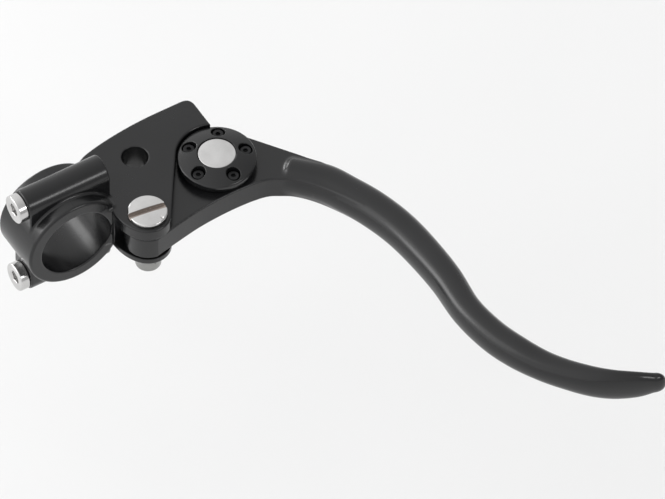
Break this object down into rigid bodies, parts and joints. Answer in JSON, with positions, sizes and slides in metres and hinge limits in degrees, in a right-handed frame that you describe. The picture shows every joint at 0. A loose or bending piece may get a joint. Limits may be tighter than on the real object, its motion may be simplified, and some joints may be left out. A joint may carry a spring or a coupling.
{
  "type": "clutch lever",
  "caption": "Clutch lever assembly: split handlebar clamp with a forked perch, curved blade on a slotted pivot screw, and a slotted cable barrel set in a round cover disc.",
  "frame": {"origin": "middle of the handlebar bore, which is also the middle plane of the lever in Z", "axes": "+X along the handlebar towards the blade tip, +Y from the handlebar out over the perch, +Z out of the face that carries the pivot screw head and the cover disc"},
  "size_m": [0.1776, 0.1516, 0.045],
  "materials": {
    "black_alloy": "semi-gloss black anodised",
    "stainless": "turned and polished",
    "black_steel": "black oxide",
    "bronze": "satin",
    "nylon": "matte"
  },
  "bodies": {
    "perch": {"perch_body": "black_alloy", "clamp_cap": "black_alloy", "clamp_screw_upper": "stainless", "clamp_screw_lower": "stainless", "pivot_screw": "stainless", "thrust_washer_upper": "bronze", "thrust_washer_lower": "bronze", "pivot_lock_nut": "stainless", "lock_nut_ring": "nylon"},
    "lever_arm": {"lever": "black_alloy", "pivot_bush": "bronze", "cover_disc": "black_alloy", "cover_screw_1": "black_steel", "cover_screw_2": "black_steel", "cover_screw_3": "black_steel", "cover_screw_4": "black_steel", "cover_screw_5": "black_steel"},
    "barrel": {"cable_barrel": "stainless"}
  },
  "joints": [
    {"name": "lever_pivot", "type": "hinge", "parent": "perch", "child": "lever_arm", "pos_m": [0.018, 0.0224, 0], "axis": [0, 0, -1], "range_deg": [0, 34]},
    {"name": "barrel_swivel", "type": "hinge", "parent": "lever_arm", "child": "barrel", "pos_m": [0.00805, 0.0545, 0], "axis": [0, 0, 1], "continuous": true}
  ]
}
